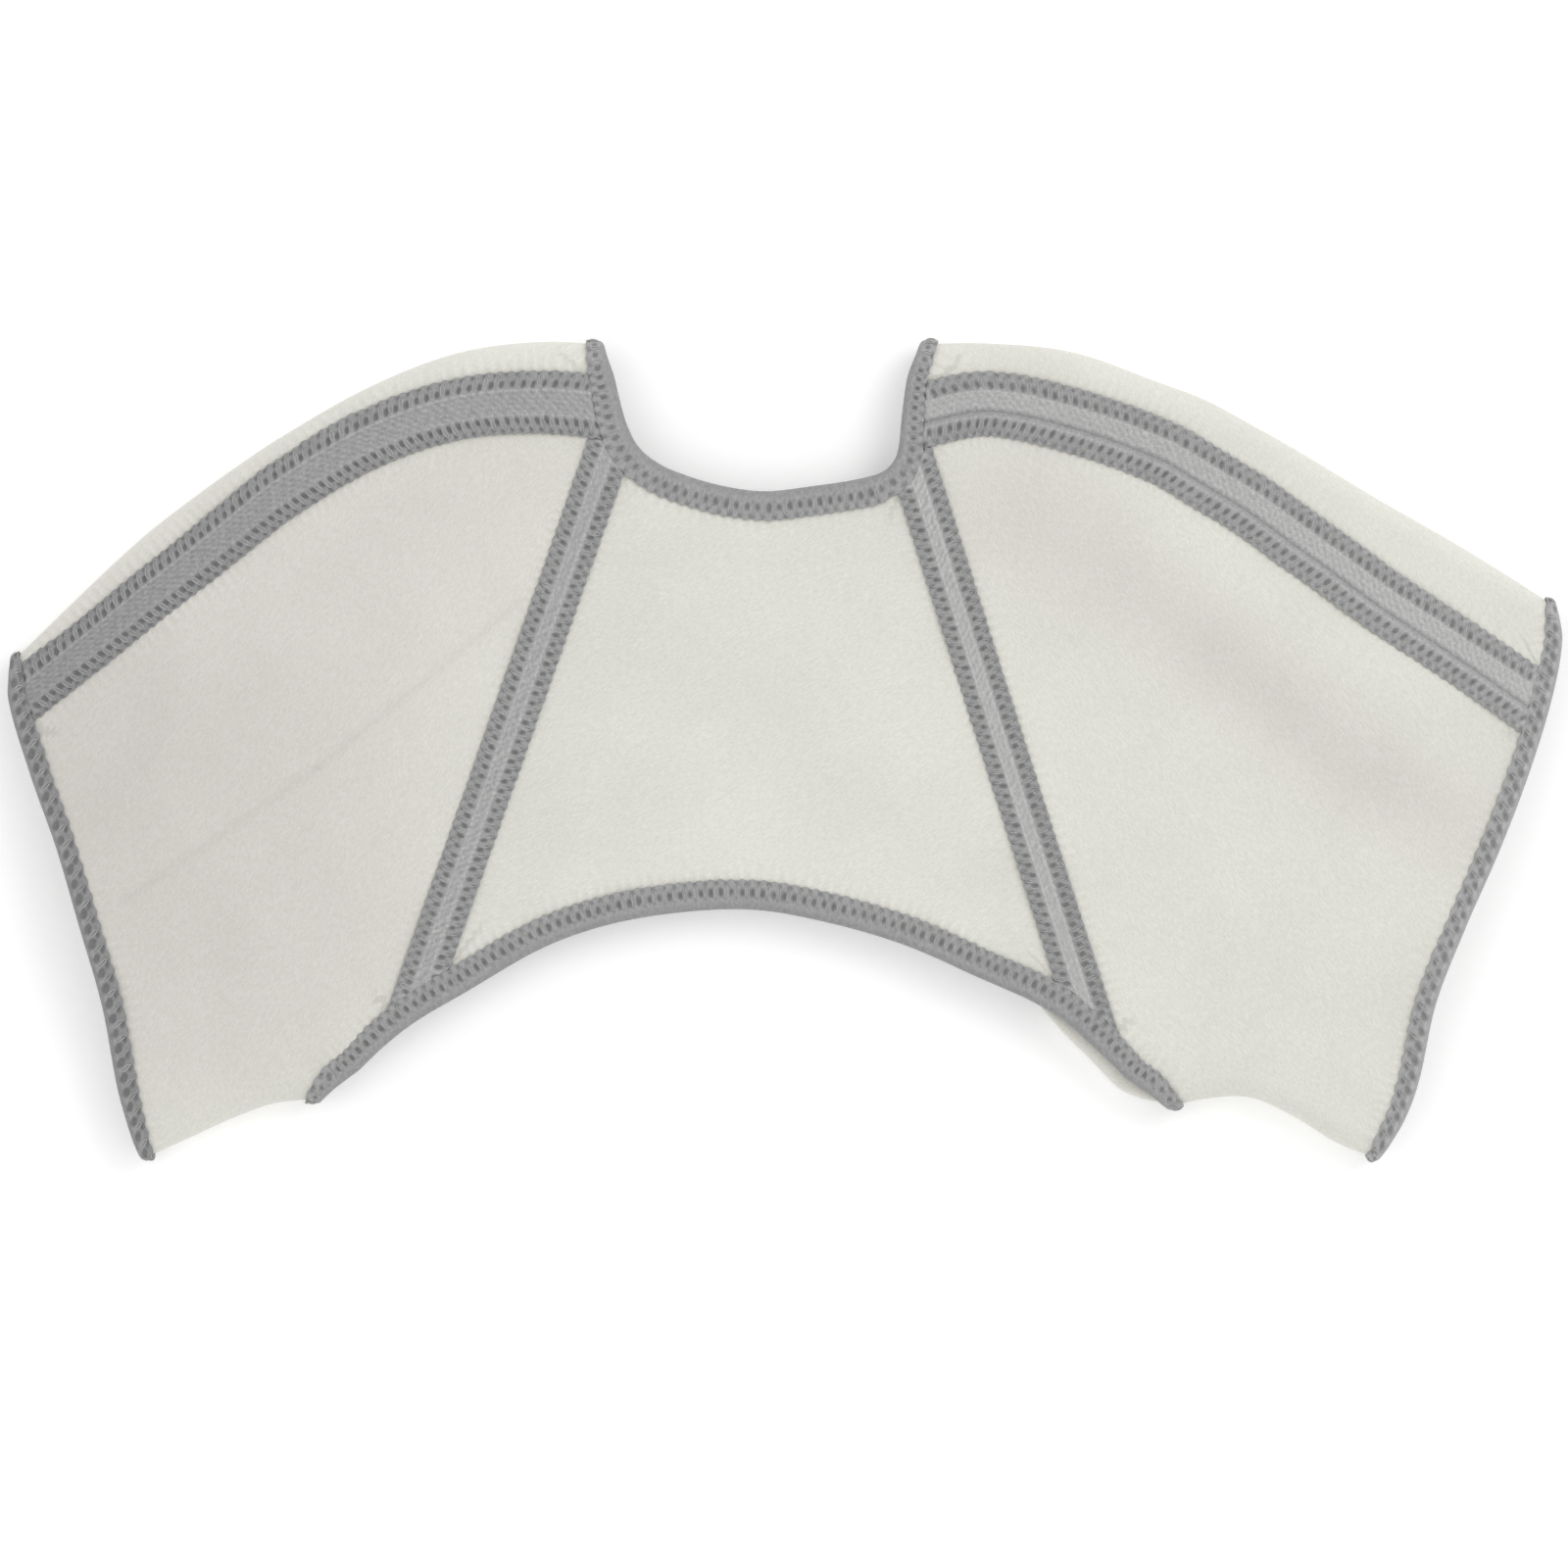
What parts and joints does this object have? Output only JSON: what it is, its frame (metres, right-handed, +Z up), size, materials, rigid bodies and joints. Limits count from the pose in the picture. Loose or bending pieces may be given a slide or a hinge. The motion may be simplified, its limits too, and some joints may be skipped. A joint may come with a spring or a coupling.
{
  "type": "shoulder brace",
  "caption": "Soft double shoulder brace with short raglan sleeves, taped seams and bound edges, lying flat with its back uppermost.",
  "frame": {"origin": "centre of the brace in plan, on the surface that it lies on", "axes": "+X from the left cuff to the right cuff, +Y towards the neck, +Z up"},
  "size_m": [0.6025, 0.3203, 0.0348],
  "materials": {
    "fleece": "brushed cream knit, matt",
    "tape": "grey ribbed elastic seam tape, cover-stitched",
    "binding": "grey folded edge binding, cover-stitched"
  },
  "bodies": {
    "root": {"back_panel": "fleece", "front_panel": "fleece", "sleeve_left": "fleece", "sleeve_right": "fleece", "shoulder_tape_left": "tape", "shoulder_tape_right": "tape", "back_raglan_tape_left": "tape", "back_raglan_tape_right": "tape", "front_raglan_tape_left": "tape", "front_raglan_tape_right": "tape", "neck_binding": "binding", "hem_binding": "binding", "cuff_binding_left": "binding", "cuff_binding_right": "binding"}
  },
  "joints": []
}
